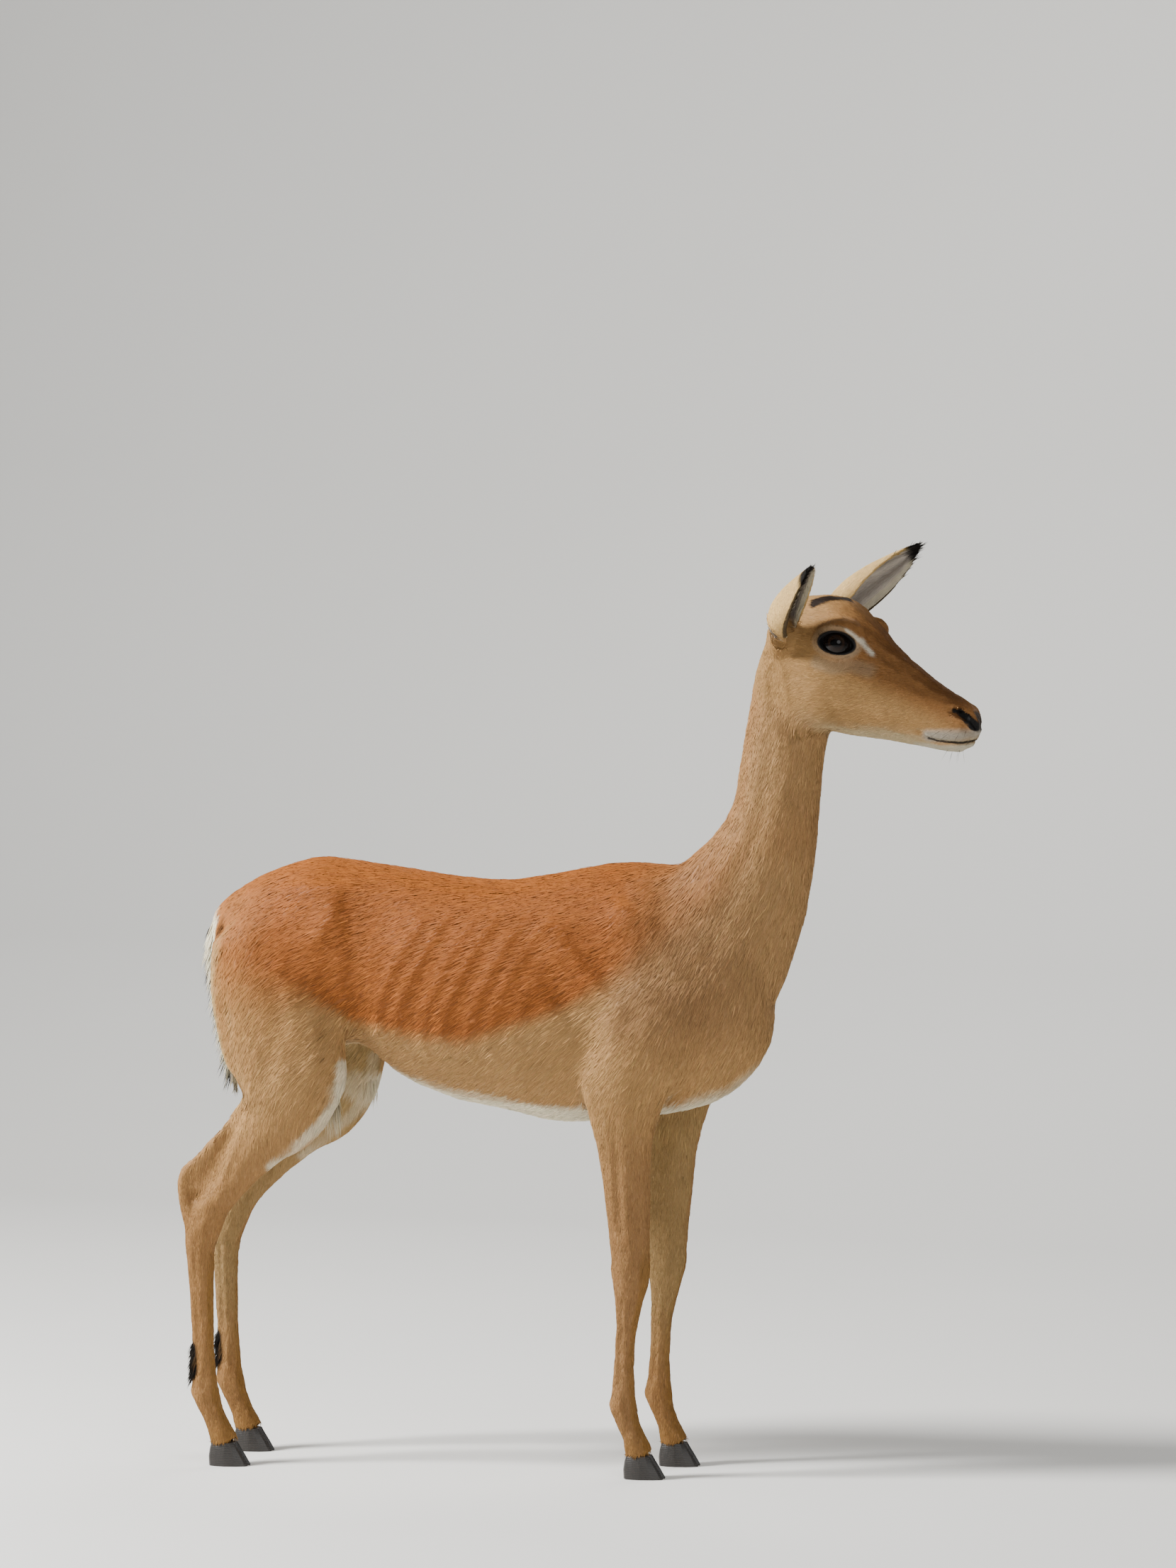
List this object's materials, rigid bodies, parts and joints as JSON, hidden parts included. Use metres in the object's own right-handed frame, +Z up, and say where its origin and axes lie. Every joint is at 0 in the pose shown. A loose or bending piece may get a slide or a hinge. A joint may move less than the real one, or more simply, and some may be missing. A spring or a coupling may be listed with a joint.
{
  "type": "impala antelope",
  "caption": "Hornless impala standing on four cloven hooves, head raised and turned a little, as a still life-size museum model.",
  "frame": {"origin": "middle of the animal's footprint box, on the floor under the hooves", "axes": "+Z up, +X towards the nose, +Y to the animal's left"},
  "size_m": [1.0524, 0.3046, 1.1963],
  "materials": {
    "coat_rufous": "short sleek red-brown hair",
    "coat_fawn": "short sleek fawn hair",
    "coat_white": "longer soft white hair",
    "horn": "dark keratin, satin",
    "eye": "wet, dark brown"
  },
  "bodies": {
    "root": {"barrel": "coat_rufous", "chest": "coat_fawn", "croup": "coat_rufous", "ear_left": "coat_fawn", "ear_right": "coat_fawn", "eye_left": "eye", "eye_right": "eye", "fore_cannon_left": "coat_fawn", "fore_cannon_right": "coat_fawn", "fore_pastern_left": "coat_fawn", "fore_pastern_right": "coat_fawn", "forearm_left": "coat_fawn", "forearm_right": "coat_fawn", "gaskin_left": "coat_fawn", "gaskin_right": "coat_fawn", "head": "coat_fawn", "hind_cannon_left": "coat_fawn", "hind_cannon_right": "coat_fawn", "hind_pastern_left": "coat_fawn", "hind_pastern_right": "coat_fawn", "hoof_fore_left_inner": "horn", "hoof_fore_left_outer": "horn", "hoof_fore_right_inner": "horn", "hoof_fore_right_outer": "horn", "hoof_hind_left_inner": "horn", "hoof_hind_left_outer": "horn", "hoof_hind_right_inner": "horn", "hoof_hind_right_outer": "horn", "neck": "coat_fawn", "tail": "coat_white", "thigh_left": "coat_fawn", "thigh_right": "coat_fawn"}
  },
  "joints": []
}
